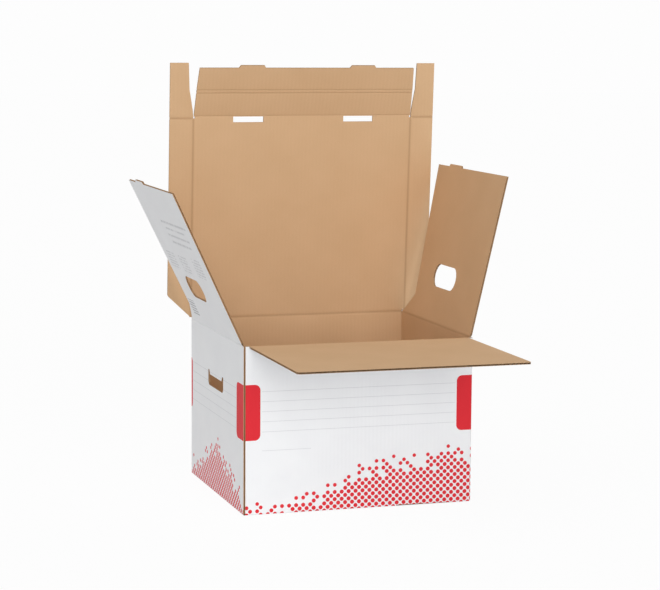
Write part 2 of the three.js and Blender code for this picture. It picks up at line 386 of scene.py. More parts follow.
def dotMask(finish):
    # round dots on two nets, thinned out at random towards a rolling upper edge
    pitch = boxPrint["dotPitch"]
    masks = []
    for shift, seed in boxPrint["dotRows"]:
        column = (finish.across / pitch - shift).nearest()
        row = (finish.along / pitch - shift).nearest()
        centreX, centreY = (column + shift) * pitch, (row + shift) * pitch
        turn = centreX * (2 * pi / boxPrint["around"])
        edge = boxPrint["edge"]
        for waves, height, start in boxPrint["edgeWaves"]:
            edge = (turn * waves + start).sine() * height + edge
        kept = ((edge - centreY) / boxPrint["fade"] + 0.5).clamped()
        x, y = finish.across - centreX, finish.along - centreY
        radius = (kept * boxPrint["dotGrowth"] + boxPrint["dotRadiusLeast"]).least(boxPrint["dotRadius"])
        masks.append(((x * x + y * y).root() < radius) * (finish.chance(column + seed, row + seed * 2) < kept))
    return anyOf(masks)


def boxPrintFinish(name):
    finish = Paper(name, paper)
    finish.across = finish.across - (finish.across > boxPrint["leftWall"]) * boxPrint["around"]
    lines = anyOf([(finish.along - height).size() < boxPrint["lineHalf"] for height in boxPrint["lines"]])
    spans = anyOf([(finish.across - middle).size() < half for middle, half in boxPrint["lineSpans"]])
    short = finish.block(*boxPrint["shortLine"])
    finish.ink(anyOf([lines * spans, short]) * boxPrint["lineShare"], paper["grey"])
    labels = [finish.block(*label, boxPrint["labelRadius"]) for label in boxPrint["labels"]]
    mottle = (finish.fibres - 0.5) * paper["redMottle"] + paper["redShare"]
    finish.ink(anyOf([*labels, dotMask(finish)]), finish.mix(mottle, paper["red"], paper["redLight"]))
    finish.ink(anyOf([finish.block(*patch) for patch in boxPrint["worn"]]), paper["worn"])
    return finish.faceDone()


linerPrint = {
    # faint generic bars where the side liner carries its printed notes
    "bars": [((-52.0, 197.0), (83.0, 2.0)), ((-46.0, 186.0), (62.0, 1.6)), ((-50.0, 174.0), (70.0, 1.8)),
             ((-49.0, 162.0), (62.0, 2.0))],
    "barShare": 0.5,
    "columns": [((80.0, 122.0), (27.0, 17.0)), ((-3.0, 122.0), (27.0, 17.0)), ((-95.0, 126.0), (27.0, 17.0))],
    "columnShare": 0.42,
    "tag": ((92.0, 32.0), (19.0, 15.0)),
    "tagShare": 0.85,
    "step": 5.2,  # from one line to the next
    "stroke": 0.26,  # half of a line, as a share of the step
    "wordStep": 3.1,
    "wordGaps": 0.16,
}


def linerPrintFinish(name):
    finish = Paper(name, paper)
    line = finish.along / linerPrint["step"]
    word = (finish.across / linerPrint["wordStep"]).nearest()
    words = finish.chance(word, line.nearest()) > linerPrint["wordGaps"]
    stripes = (line - line.nearest()).size() < linerPrint["stroke"]
    bars = anyOf([finish.block(*bar) for bar in linerPrint["bars"]])
    columns = anyOf([finish.block(*column) for column in linerPrint["columns"]])
    tag = finish.block(*linerPrint["tag"])
    finish.ink(anyOf([bars * words * linerPrint["barShare"], columns * stripes * words * linerPrint["columnShare"],
                      tag * stripes * linerPrint["tagShare"]]), paper["noteGrey"])
    return finish.faceDone()


finishes = {
    "kraft": kraftFinish("kraftLiner"),
    "white": Paper("whiteLiner", paper).faceDone(),
    "boxPrint": boxPrintFinish("printedWalls"),
    "linerPrint": linerPrintFinish("printedLiner"),
    "raw": cutFinish("rawEdge", colour(176, 144, 108), colour(206, 174, 138)),
    "fluting": cutFinish("flutingPaper", colour(168, 132, 97), colour(203, 166, 127)),
}
print("finishes made:", len(finishes))

# board as it is built: two liners glued to a wave of fluting


def clipped(points, crease, trim):
    # the part of an outline that lies further than trim from a crease
    at, away = Vector(crease["at"]), Vector(crease["away"])
    kept = []
    for first, second in zip(points, points[1:] + points[:1]):
        first, second = Vector(first), Vector(second)
        near, far = (first - at).dot(away) - trim, (second - at).dot(away) - trim
        if near >= 0:
            kept.append(first)
        if (near >= 0) != (far >= 0):
            kept.append(first.lerp(second, near / (near - far)))
    return [tuple(point) for point in kept]


def trimmed(panel, outline, end):
    # an outline without what lies closer to each crease than the layer goes; a crease with a span stops nothing
    for crease in panel["creases"]:
        if "span" not in crease:
            outline = clipped(outline, crease, crease[end])
    return outline


def pressedIn(point, creases, side):
    # how deep a face is pressed in at a point, by the creases near it
    deepest, touch = 0.0, 0.01
    for crease in creases:
        away = Vector(crease["away"])
        distance = (Vector(point) - Vector(crease["at"])).dot(away)
        place = point[0] if abs(away.y) > 0.5 else point[1]
        low, high = crease.get("span", (place, place))
        depth, reach = crease[side]
        if low - touch <= place <= high + touch and -touch < distance < reach:
            deepest = max(deepest, dipAt(depth, reach, distance))
    return deepest


def insideSheet(point, outline, holes):
    def within(loop):
        odd = False
        for first, second in zip(loop, loop[1:] + loop[:1]):
            if (first[1] > point.y) != (second[1] > point.y):
                place = first[0] + (point.y - first[1]) * (second[0] - first[0]) / (second[1] - first[1])
                odd ^= point.x < place
        return odd

    return within(outline) and not any(within(loop) for loop in holes)


def flatMesh(outline, holes, unit=1, height=0.0):
    points, edges = [], []
    for loop in [outline] + holes:
        start = len(points)
        points += [Vector(point) for point in loop]
        edges += [(start + i, start + (i + 1) % len(loop)) for i in range(len(loop))]
    points, _, faces, *_ = delaunay_2d_cdt(points, edges, [], 0 if holes else 1, 1e-5)
    flat = bmesh.new()
    corners = [flat.verts.new((point.x / unit, point.y / unit, height)) for point in points]
    for face in faces:
        if not holes or insideSheet(sum((points[i] for i in face), Vector((0, 0))) / 3, outline, holes):
            flat.faces.new([corners[i] for i in face])
    flat.normal_update()
    return flat


def sliced(flat, at, away):
    bmesh.ops.bisect_plane(flat, geom=flat.verts[:] + flat.edges[:] + flat.faces[:], dist=1e-4,
                           plane_co=(at[0], at[1], 0), plane_no=(*away, 0))


pressSlices = (0.15, 0.3, 0.45, 0.6, 0.8, 1.0)  # where a face is cut to take the dip of a crease


def paperLayer(panel, target, side, faceSlot, edgeSlot=2):
    # one closed liner of a panel: its face, its back and its cut edge
    outline = trimmed(panel, panel.get(side + "Outline", panel["outline"]), side + "End")
    flat = flatMesh(outline, panel["holes"])
    for crease in panel["creases"]:
        for share in pressSlices:
            sliced(flat, Vector(crease["at"]) + Vector(crease["away"]) * crease[side][1] * share, crease["away"])
    for across in panel.get("cuts", []):
        sliced(flat, (across, 0), (1, 0))
    for along in panel.get("lines", []):
        sliced(flat, (0, along), (0, 1))
    flat.normal_update()
    top, bottom = {}, {}
    press, uv = target.verts.layers.float["press"], target.loops.layers.uv["sheet"]
    for corner in flat.verts:
        dip = pressedIn((corner.co.x, corner.co.y), panel["creases"], side)
        high = innerFace - dip if side == "inner" else outerFace + dip + board["paper"]
        top[corner] = target.verts.new((corner.co.x, corner.co.y, high))
        bottom[corner] = target.verts.new((corner.co.x, corner.co.y, high - board["paper"]))
        # painted crease shade on the inner face, by the depth of its dip
        if side == "inner":
            top[corner][press] = min(1.0, dip / kraft["fullShadeDepth"])

    def addFace(loop, slot):
        face = target.faces.new(loop)
        face.material_index = slot
        for item in face.loops:
            place = (item.vert.co.x / 1000, item.vert.co.y / 1000)
            item[uv].uv = place[::-1] if panel["flutes"] == "across" else place

    for face in flat.faces:
        loop = list(face.verts) if face.normal.z > 0 else list(face.verts)[::-1]
        addFace([top[corner] for corner in loop], faceSlot if side == "inner" else edgeSlot)
        addFace([bottom[corner] for corner in loop[::-1]], edgeSlot if side == "inner" else faceSlot)
    for edge in flat.edges:
        if len(edge.link_faces) == 1:
            face = edge.link_faces[0]
            first, second = edge.verts
            order = list(face.verts)
            follows = order[(order.index(first) + 1) % len(order)] == second
            if follows != (face.normal.z > 0):
                first, second = second, first
            addFace([bottom[first], bottom[second], top[second], top[first]], edgeSlot)
    flat.free()


def finishPiece(name, data, materials, body, slot, *nodes, sharp=32):
    data.shade_smooth()
    data.set_sharp_from_angle(angle=radians(sharp))
    for material in materials:
        data.materials.append(finishes[material])
    piece = added(name, data)
    if body:
        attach(piece, body)
    if nodes:
        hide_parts(*nodes)
    return piece


def emptyBoard():
    mesh = bmesh.new()
    # a layer for the painted crease shade
    mesh.verts.layers.float.new("press")
    mesh.loops.layers.uv.new("sheet")
    return mesh


def bothLiners(panel, outerSlot=1):
    mesh = emptyBoard()
    paperLayer(panel, mesh, "inner", 0)
    paperLayer(panel, mesh, "outer", outerSlot)
    return mesh


def asData(name, mesh):
    data = bpy.data.meshes.new(name)
    mesh.to_mesh(data)
    mesh.free()
    return data


def fluteTree():
    # a wave of paper, cut to the outline that comes in as a closed block
    group = bpy.data.node_groups.new("fluting", "GeometryNodeTree")
    inputs = {"Outline": "Geometry", "Across": "Float", "Along": "Float", "Pitch": "Float", "Steps": "Int",
              "Wave": "Float", "Paper": "Float", "Phase": "Float", "Turn": "Float", "Centre": "Vector"}
    sockets = {name: group.interface.new_socket(name=name, in_out="INPUT", socket_type="NodeSocket" + kind).identifier
               for name, kind in inputs.items()}
    group.interface.new_socket(name="Fluting", in_out="OUTPUT", socket_type="NodeSocketGeometry")
    wiring = Wiring(group)
    node = wiring.node
    given = node("NodeGroupInput").outputs
    across, pitch, steps, wave, sheet, phase = (
        Signal(wiring, given[name]) for name in ("Across", "Pitch", "Steps", "Wave", "Paper", "Phase"))
    columns = (across / pitch * steps).roundedUp() + 1.0
    grid = node("GeometryNodeMeshGrid", values={"Size X": across, "Size Y": given["Along"], "Vertices X": columns,
                                                "Vertices Y": 2}).outputs[0]
    position = node("ShaderNodeSeparateXYZ", values={0: node("GeometryNodeInputPosition").outputs[0]}).outputs
    turns = Signal(wiring, position[0]) / pitch + phase
    lift = (turns * (2 * pi)).sine() * (wave * 0.5) - sheet * 0.5
    waved = node("GeometryNodeSetPosition", values={"Geometry": grid, "Offset": wiring.point(z=lift)}).outputs[0]
    thick = node("GeometryNodeExtrudeMesh", {"mode": "FACES"}, {
        "Mesh": waved, "Offset": wiring.point(z=sheet), "Offset Scale": 1.0, "Individual": False}).outputs[0]
    under = node("GeometryNodeFlipFaces", values={"Mesh": waved}).outputs[0]
    both = node("GeometryNodeJoinGeometry", values={0: [under, thick]}).outputs[0]
    closed = node("GeometryNodeMergeByDistance", values={"Geometry": both, "Distance": 1e-6}).outputs[0]
    laid = node("GeometryNodeTransform", values={"Geometry": closed, "Translation": given["Centre"],
                                                 "Rotation": wiring.point(z=given["Turn"])}).outputs[0]
    cut = node("GeometryNodeMeshBoolean", {"operation": "INTERSECT", "solver": "EXACT"},
               {"Mesh 2": [laid, given["Outline"]]}).outputs[0]
    inked = node("GeometryNodeSetMaterial", values={"Geometry": cut, "Material": finishes["fluting"]}).outputs[0]
    real = node("GeometryNodeRealizeInstances", values={"Geometry": inked}).outputs[0]
    node("NodeGroupOutput", values={0: real})
    return group, sockets


fluting, flutingInput = fluteTree()
flutingBlock = {"proud": 0.3, "spare": 8.0, "sparePitches": 2}  # how far block and wave stand past each other


def fluteCore(panel):
    # the fluting of one panel, as a mesh in its place on the box and in metres
    outline = trimmed(panel, panel["outline"], "flutes")
    low, high = (waveLow - flutingBlock["proud"]) / 1000, (waveHigh + flutingBlock["proud"]) / 1000
    mesh = flatMesh(outline, panel["holes"], 1000, low)
    bmesh.ops.reverse_faces(mesh, faces=[face for face in mesh.faces if face.normal.z > 0])
    made = bmesh.ops.extrude_face_region(mesh, geom=mesh.faces[:])
    raised = [item for item in made["geom"] if isinstance(item, bmesh.types.BMVert)]
    bmesh.ops.translate(mesh, verts=raised, vec=(0, 0, high - low))
    data = asData("flutingOutline", mesh)
    blank = added("flutingOutline", data)
    xs, ys = [point[0] for point in outline], [point[1] for point in outline]
    wide, long = max(xs) - min(xs), max(ys) - min(ys)
    turned = panel["flutes"] == "across"
    across, along = (long, wide) if turned else (wide, long)
    modifier = blank.modifiers.new("fluting", "NODES")
    modifier.node_group = fluting
    pitch = board["flutePitch"]
    for name, value in {
        "Across": (ceil(across / pitch) + flutingBlock["sparePitches"]) * pitch / 1000,
        "Along": (along + flutingBlock["spare"]) / 1000,
        "Pitch": pitch / 1000,
        "Steps": board["fluteSteps"],
        "Wave": (waveHigh - waveLow - board["flutePaper"]) / 1000,
        "Paper": board["flutePaper"] / 1000,
        "Phase": panel["phase"],
        "Turn": pi / 2 if turned else 0.0,
        "Centre": ((max(xs) + min(xs)) / 2000, (max(ys) + min(ys)) / 2000, (waveLow + waveHigh) / 2000),
    }.items():
        modifier[flutingInput[name]] = value
    bpy.context.view_layer.update()
    core = bpy.data.meshes.new_from_object(blank.evaluated_get(bpy.context.evaluated_depsgraph_get()))
    blank.modifiers.clear()
    bpy.data.objects.remove(blank)
    bpy.data.meshes.remove(data)
    core.transform(Matrix.Scale(0.001, 4) @ panel["frame"] @ Matrix.Scale(1000, 4))
    core.materials.clear()
    return core


def makePanel(node, body, panel, outside="white", slot="kraft_board"):
    # a whole panel: both liners as one piece, and its fluting as another
    mesh = bothLiners(panel)
    for corner in mesh.verts:
        corner.co = (panel["frame"] @ corner.co) / 1000
    name = node + "_board"
    piece = finishPiece(name, asData(name, mesh), ["kraft", outside, "raw"], body, slot, node)
    finishPiece(node + "_fluting", fluteCore(panel), ["fluting"], body, "cut_edge", sharp=50)
    print(name, "faces:", len(piece.data.polygons))


# side liners

sideLiner = {
    "length": 260.0,
    "rootFront": -159.3,
    "rootRear": 158.5,
    "waistInset": 48.5,
    "waistHeight": 36.0,
    "topInset": 20.5,
    "tab": (39.0, 95.0),
    "tabRise": 4.0,
    "tabChamfer": 3.0,
    "leftLean": 25.0,
    "rightLean": 13.0,
    "leftPhase": 0.1,
    "rightPhase": 0.6,
}
linerHole = {"centre": 3.0, "height": 78.0, "width": 100.0, "chord": 38.0, "straight": 70.0, "steps": 8}


def linerHoleOutline(rear):
    bulge = (linerHole["width"] - linerHole["straight"]) / 2
    chord = linerHole["chord"] / 2
    radius = (chord ** 2 + bulge ** 2) / (2 * bulge)
    sweep = atan2(chord, radius - bulge)
    middle = linerHole["width"] / 2 - radius
    points = []
    for side, start in ((1, -sweep), (-1, pi - sweep)):
        centre = rear * linerHole["centre"] + side * middle
        points += arc(centre, linerHole["height"], radius, start, 2 * sweep, linerHole["steps"])
    return points


def sideLinerPanel(rear, lean, phase):
    s = sideLiner
    low, high = s["tab"]
    top, tabTop = s["length"], s["length"] + s["tabRise"]
    outline = [
        (s["rootFront"], 0.0), (s["rootFront"], top), (low, top), (low + s["tabChamfer"], tabTop),
        (high - s["tabChamfer"], tabTop), (high, top), (halfDepth - s["topInset"], top),
        (halfDepth - s["waistInset"], s["waistHeight"]), (s["rootRear"], 0.0),
    ]
    return panelOf(rimFrame(90 * rear, lean), mirrored(outline, rear), [pressLine("rim")], [linerHoleOutline(rear)],
                   phase)


for word, rear, outside in (("left", 1, "linerPrint"), ("right", -1, "white")):
    panel = sideLinerPanel(rear, sideLiner[word + "Lean"], sideLiner[word + "Phase"])
    makePanel(word + "_side_liner", word + "_liner", panel, outside, "printed_board")

# front liner

frontLiner = {"right": -180.65, "left": 178.0, "length": 256.8, "corner": 5.0, "lean": 90.0, "phase": 0.35}


def frontLinerPanel():
    f = frontLiner
    shoulder = f["length"] - f["corner"]
    outline = [
        (f["right"], 0.0), (f["left"], 0.0), (f["left"], shoulder), (f["left"] - f["corner"] / 2, f["length"]),
        (f["right"] + f["corner"] / 2, f["length"]), (f["right"], shoulder),
    ]
    return panelOf(rimFrame(180, f["lean"]), outline, [pressLine("rim")], phase=f["phase"])


makePanel("front_liner", "front_liner", frontLinerPanel())

# lid

lid = {
    "width": 378.0,
    "length": 338.0,
    "lean": -3.5,
    "slotWidth": 52.0,
    "slotHeight": 9.6,
    "slotFromLip": 0.8,
    "slotCentre": 95.5,
    "strip": 40.0,
    "stripPhase": 0.2,
    "rootStart": 1.5,
    "rootEnd": 39.0,
    "rootRadius": 8.0,
    "rootSteps": 6,
    "tabSetback": 3.5,
    "tabReach": 87.5,
    "tabRootOffset": 0.15,
    "slit": 10.0,
    "slitOffset": 1.4,
    "veeOffset": 7.2,
    "veeHeight": 44.0,
    "tabTopOffset": 9.0,
    "tabPhase": 0.4,
    "lip": 40.0,
    "lipEndInset": 0.7,
    "lipFold": 15.0,
    "band": 5.5,
    "bandEndInset": 2.0,
    "tuck": 38.0,
    "tuckTopInset": 4.4,
    "tuckTabRise": 4.5,
    "tuckTabWidth": 46.0,
    "chamfer": 3.0,
}
lidSide = lid["width"] / 2
lipSide, bandSide, tuckSide = (lidSide - lid[key] for key in ("lipEndInset", "bandEndInset", "tuckTopInset"))
stripEnd = lid["length"] - lid["tabSetback"]


def moved(frameBefore, x, y, turn, axis):
    return frameBefore @ Matrix.Translation((x, y, 0)) @ Matrix.Rotation(turn, 4, axis)


lidFrame = rimFrame(0, lid["lean"])
lipFrame = moved(lidFrame, 0, lid["length"], radians(lid["lipFold"]), "X")
bandFrame = moved(lipFrame, 0, lid["lip"], 0, "X")
tuckFrame = moved(bandFrame, 0, lid["band"], 0, "X")


def stripFrame(side):
    return moved(lidFrame, side * lidSide, 0, -side * pi / 2, "Z")


def cornerTabFrame(side):
    return moved(stripFrame(side), -side * stripEnd, 0, side * pi / 2, "Z")


def lidPanel():
    length, half = lid["length"], lid["slotWidth"] / 2
    top = length - lid["slotFromLip"]
    low = top - lid["slotHeight"]
    holes = [[(centre - half, low), (centre + half, low), (centre + half, top), (centre - half, top)]
             for centre in (-lid["slotCentre"], lid["slotCentre"])]
    creases = [pressLine("rim"), pressLine("side", (-lidSide, 0), (1, 0)), pressLine("side", (lidSide, 0), (-1, 0)),
               pressLine("lidSlot", (0, length), (0, -1))]
    return panelOf(lidFrame, trapezoid(lidSide, lidSide, length), creases, holes)


def stripPanel(side):
    radius = lid["rootRadius"]
    slope = atan2(lid["strip"], lid["rootEnd"] - lid["rootStart"])
    centre = lid["rootEnd"] + radius * tan(slope / 2)
    root = arc(centre, lid["strip"] - radius, radius, pi / 2 + slope, -slope, lid["rootSteps"])
    outline = mirrored([(lid["rootStart"], 0.0), *root, (stripEnd, lid["strip"]), (stripEnd, 0.0)], -side)
    creases = [pressLine("side"), pressLine("side", (-side * stripEnd, 0), (side, 0))]
    return panelOf(stripFrame(side), outline, creases, phase=lid["stripPhase"], flutes="across")


def cornerTabPanel(side):
    top = lid["tabSetback"] + lid["tabReach"]
    outline = [(lid["tabRootOffset"], 0.0), (lid["slitOffset"], lid["tabSetback"] + lid["slit"]),
               (lid["veeOffset"], lid["tabSetback"] + lid["veeHeight"]), (lid["tabTopOffset"], top),
               (lid["strip"], top), (lid["strip"], 0.0)]
    return panelOf(cornerTabFrame(side), mirrored(outline, side), [pressLine("side")], phase=lid["tabPhase"])


def foldedPanel(place, root, high, kind):
    # the lip or the band: a crease at its foot, and the band's crease along its top
    return panelOf(place, trapezoid(root, bandSide, high), [pressLine(kind), pressLine("band", (0, high), (0, -1))])


def tuckPanel():
    high, half = lid["tuck"], lid["tuckTabWidth"] / 2
    tabTop, tabHalf = high + lid["tuckTabRise"], half - lid["chamfer"]
    points = [(-bandSide, 0.0), (bandSide, 0.0), (tuckSide, high)]
    for centre in (lid["slotCentre"], -lid["slotCentre"]):
        points += [(centre + half, high), (centre + tabHalf, tabTop), (centre - tabHalf, tabTop), (centre - half, high)]
    points.append((-tuckSide, high))
    return panelOf(tuckFrame, points, [pressLine("band")])


makePanel("lid_panel", "lid", lidPanel())
makePanel("lid_lip", "lip", foldedPanel(lipFrame, lipSide, lid["lip"], "lip"))
makePanel("lid_rim_band", "rim_band", foldedPanel(bandFrame, bandSide, lid["band"], "band"))
makePanel("lid_tuck_panel", "tuck_panel", tuckPanel())
for word, side in (("left", -1), ("right", 1)):
    makePanel(f"lid_{word}_strip", word + "_strip", stripPanel(side))
    makePanel(f"lid_{word}_corner_tab", word + "_corner_tab", cornerTabPanel(side))
print("panels made")

# the folded and glued body: its four walls are one band, unrolled to the right from the middle of the front

walls = {
    "bend": 3.2,  # outer radius of the upright corners
    "bendSteps": 6,
    "underBend": 2.0,
    "underSteps": 4,
    "gluedBend": 1.5,
    "gluedSteps": 4,
    "gluedLap": 2.0,  # how far the outer liner goes on behind the bare cut end of the left wall
    "rootSlack": 0.2,  # a rim is pressed this much past the ends of the panel that folds over it
    "rampWidth": 0.35,
    "innerFoot": 3.1,  # the inner liner starts this high, on the bottom flaps
    "tabSeam": 38.0,  # how far the glue tab reaches inside the left wall
    "tabSeamSpan": (18.0, 251.0),
    "tabSeamDip": (0.22, 0.6),
    "fluteFoot": 2.5,
    "fluteEnd": 3.4,
    "cutEnd": 0.1,
    "phase": 0.3,
}
flaps = {
    "root": 1.9,
    "lowTop": 3.15,  # the long flaps lie underneath and meet at the seam, the short ones lie on them
    "highTop": 6.15,
    "seam": 20.0,
    "seamGap": 0.3,
    "shortRoot": 3.05,
    "shortEnd": 64.5,
    "shortSide": 162.0,
    "chamfer": 25.0,
}
wallHole = {"width": 94.0, "height": 18.0, "ear": 11.0, "earTop": 6.6, "earRise": 7.5, "corner": 8.0, "cornerSteps": 6,
            "drop": 80.0, "centre": 3.0}
corners = [halfWidth, halfWidth + box["depth"], halfWidth * 3 + box["depth"]]
bandStart, bandEnd = -halfWidth + board["thickness"], 3 * halfWidth + 2 * box["depth"]
wallMiddles = {180: 0.0, -90: halfWidth + halfDepth, 0: 2 * halfWidth + box["depth"],
               90: 3 * halfWidth + 1.5 * box["depth"]}
rootFront, rootRear = sideLiner["rootFront"] - walls["rootSlack"], sideLiner["rootRear"] + walls["rootSlack"]
lidRoot = halfWidth + walls["bend"]
rimSpans = {
    180: (-frontLiner["left"] - walls["rootSlack"], -frontLiner["right"] + walls["rootSlack"]),
    -90: (rootFront, rootRear),
    0: (-lidRoot, lidRoot),
    90: (-rootRear, -rootFront),
}


def wrapBand(point):
    # place of (along the band, height, distance in from the outer face) on the folded box
    along, height, depth = point
    under = walls["underBend"]
    turn = pi / 2 * min(1.0, max(0.0, (under - height) / under))
    if turn:
        depth, height = under - (under - depth) * cos(turn), under - (under - depth) * sin(turn)
    glued = walls["gluedBend"]
    if along < bandStart + glued:
        angle = (bandStart + glued - along) / glued
        extra = max(0.0, angle - pi / 2) * glued
        angle = min(angle, pi / 2)
        reach = glued - depth
        return Vector((bandStart + glued - reach * sin(angle), -halfDepth + glued - reach * cos(angle) + extra, height))
    heading, middle = 0.0, 0.0
    radius = walls["bend"]
    for index, (corner, signs) in enumerate(zip(corners, ((1, -1), (1, 1), (-1, 1)))):
        if along > corner - radius:
            share = min(1.0, (along - corner + radius) / (2 * radius))
            heading = (index + share) * pi / 2
            middle = list(wallMiddles.values())[index + 1]
            if share < 1.0:
                centre = Vector((signs[0] * (halfWidth - radius), signs[1] * (halfDepth - radius), height))
                return centre + (radius - depth) * Vector((sin(heading), -cos(heading), 0))
    outward = Vector((sin(heading), -cos(heading), 0))
    sideways = Vector((cos(heading), sin(heading), 0))
    half = halfDepth if abs(outward.y) > 0.5 else halfWidth
    return outward * (half - depth) + sideways * (along - middle) + Vector((0, 0, height))


def bandOutline(low, notch, start):
    # the top edge drops by notch where a liner or the lid folds over
    high, drop = box["height"], rim - notch
    points = [(start, low), (bandEnd, low), (bandEnd, high)]
    for heading in reversed(wallMiddles):
        first, last = (wallMiddles[heading] + place for place in rimSpans[heading])
        points += [(last, high), (last, drop), (first, drop), (first, high)]
    return points + [(start, high)]


def wallHoleOutline():
    side, corner = wallHole["width"] / 2, wallHole["corner"]
    low = box["height"] - wallHole["drop"] - wallHole["height"] / 2 - wallHole["earRise"] / 2
    high = low + wallHole["height"]
    ear = high + wallHole["earRise"]
    half = [*arc(side - corner, low + corner, corner, -pi / 2, pi / 2, wallHole["cornerSteps"]),
            (side, ear), (side - wallHole["earTop"], ear), (side - wallHole["ear"], high)]
    return half + [(-x, y) for x, y in half[::-1]]


def wallBand():
    holes = [[(wallMiddles[heading] + sign * wallHole["centre"] + x, y) for x, y in wallHoleOutline()]
             for heading, sign in ((-90, 1), (90, -1))]
    creases = []
    cuts = [corner + walls["bend"] * (2 * step / walls["bendSteps"] - 1)
            for corner in corners for step in range(walls["bendSteps"] + 1)]
    for heading, middle in wallMiddles.items():
        first, last = (middle + place for place in rimSpans[heading])
        creases.append(pressLine("rim", (0, rim), (0, -1), span=(first, last)))
        cuts += [first - walls["rampWidth"], first, last, last + walls["rampWidth"]]
    for away in (1, -1):
        creases.append({"at": (bandEnd - walls["tabSeam"], 0), "away": (away, 0), "span": walls["tabSeamSpan"],
                        "inner": walls["tabSeamDip"], "outer": (0.0, 0.1)})
    cuts += [bandStart + walls["gluedBend"] * (1 - step / walls["gluedSteps"] * pi / 2)
             for step in range(walls["gluedSteps"] + 1)]
    kind = creaseKinds["rim"]
    return panelOf(
        None, bandOutline(0.0, kind["outerEnd"], bandStart - walls["gluedLap"]), creases, holes, cuts=cuts,
        lines=[walls["underBend"] * step / walls["underSteps"] for step in range(walls["underSteps"] + 1)],
        innerOutline=bandOutline(walls["innerFoot"], kind["innerEnd"], bandStart + walls["cutEnd"]))


def flapPanels():
    seam = [flaps["seam"] - flaps["seamGap"] / 2, flaps["seam"] + flaps["seamGap"] / 2]
    reach, root = halfWidth - walls["underBend"], halfDepth - flaps["root"]
    panels = [(flaps["lowTop"], [(-reach, low), (reach, low), (reach, high), (-reach, high)], "along")
              for low, high in ((-root, seam[0]), (seam[1], root))]
    end, side, chamfer = flaps["shortEnd"], flaps["shortSide"], flaps["chamfer"]
    start = halfWidth - flaps["shortRoot"]
    outline = [(end + chamfer, -side), (end, -side + chamfer), (end, side - chamfer), (end + chamfer, side),
               (start, side), (start, -side)]
    panels += [(flaps["highTop"], mirrored(outline, sign), "across") for sign in (-1, 1)]
    return [panelOf(Matrix.Translation((0, 0, height)), outline, [], flutes=flutes)
            for height, outline, flutes in panels]


def wallFluting(heading):
    half = halfDepth if heading in (90, -90) else halfWidth
    first, last = rimSpans[heading]
    low, high = -half + walls["fluteEnd"], half - walls["fluteEnd"]
    if heading == 90:
        high = half - walls["cutEnd"]
    top, notch, foot = -board["gap"], -creaseKinds["rim"]["flutes"], walls["fluteFoot"] - box["height"]
    points = [(low, foot), (high, foot)]
    if last < high:
        points += [(high, top), (last, top)]
    points += [(min(last, high), notch), (max(first, low), notch)]
    if first > low:
        points += [(first, top), (low, top)]
    holes = []
    if heading in (90, -90):
        shift = wallHole["centre"] if heading == -90 else -wallHole["centre"]
        holes = [[(-shift - x, y - rim) for x, y in wallHoleOutline()][::-1]]
    return panelOf(rimFrame(heading, 0), [(-x, y) for x, y in points][::-1], [], holes, walls["phase"])


def joined(meshes, mesh):
    for data in meshes:
        mesh.from_mesh(data)
        bpy.data.meshes.remove(data)
    return mesh


def bodyBoard():
    mesh = bothLiners(wallBand())
    for corner in mesh.verts:
        corner.co = wrapBand(Vector((corner.co.x, corner.co.y, corner.co.z - outerFace)))
    panels = flapPanels()
    for panel in panels:
        flap = bothLiners(panel, 3)
        bmesh.ops.transform(flap, matrix=panel["frame"], verts=flap.verts)
        joined([asData("flap", flap)], mesh)
    for corner in mesh.verts:
        corner.co /= 1000
    finishPiece("box_body_board", asData("box_body_board", mesh), ["kraft", "boxPrint", "raw", "white"], "box",
                "printed_board", "box_body")
    cores = [fluteCore(panel) for panel in panels + [wallFluting(heading) for heading in wallMiddles]]
    data = asData("box_body_fluting", joined(cores, bmesh.new()))
    finishPiece("box_body_fluting", data, ["fluting"], "box", "cut_edge", sharp=50)
    print("body made:", len(data.polygons), "faces of fluting")


bodyBoard()

# creases: short strips of paper that bend from one panel to the next

creaseStrip = {
    "steps": 12,
    "paper": 0.28,
    "soften": 1.5,
    "innerPlaces": (1.0, 0.8, 0.6, 0.4, 0.2, 0.06),  # shares of the strip's half width
    "endGap": 0.1,
    "lipGap": 0.05,
    "tabStart": 0.3,
    "start": 40.0,  # the strip's place on the sheet, for its fibres
    "bendInset": 0.3,
    "bendLeast": 0.25,
    "deepest": 2.75,
    "sideStart": 3.9,
    "sideInnerStart": 0.6,
}


def creaseRibbon(ribbon, profile, span, layer, pointShades=()):
    # a closed ribbon of paper along the crease, from a profile of (y, z) points on its visible face
    mesh = ribbon["mesh"]
    lift = creaseStrip["paper"] * (1 if layer else -1)
    back = []
    for index, point in enumerate(profile):
        before, after = profile[max(0, index - 1)], profile[min(len(profile) - 1, index + 1)]
        run = (Vector(after) - Vector(before)).normalized()
        back.append((point[0] - run[1] * lift, point[1] + run[0] * lift))
    ring = list(profile) + back[::-1]
    press, uv = mesh.verts.layers.float["press"], mesh.loops.layers.uv["sheet"]
    rows = [[mesh.verts.new((ribbon["frame"] @ Vector((x, y, z))) / 1000) for y, z in ring] for x in span]
    for row in rows:
        # painted crease shade at each point of the profile
        for corner, tone in zip(row, pointShades):
            corner[press] = tone
    travelled = [-creaseStrip["start"]]
    for before, after in zip(ring, ring[1:]):
        travelled.append(travelled[-1] + hypot(after[0] - before[0], after[1] - before[1]))
    made = []
    for index, place in enumerate(travelled):
        following = (index + 1) % len(ring)
        face = mesh.faces.new((rows[0][index], rows[0][following], rows[1][following], rows[1][index]))
        face.material_index = layer
        made.append(face)
        for loop, x, y in zip(face.loops, (span[0], span[0], span[1], span[1]), (place, place + 1, place + 1, place)):
            loop[uv].uv = (y / 1000, x / 1000) if ribbon["flutes"] == "across" else (x / 1000, y / 1000)
    for row in rows:
        made.append(mesh.faces.new(row))
        made[-1].material_index = 2
    bmesh.ops.recalc_face_normals(mesh, faces=made)


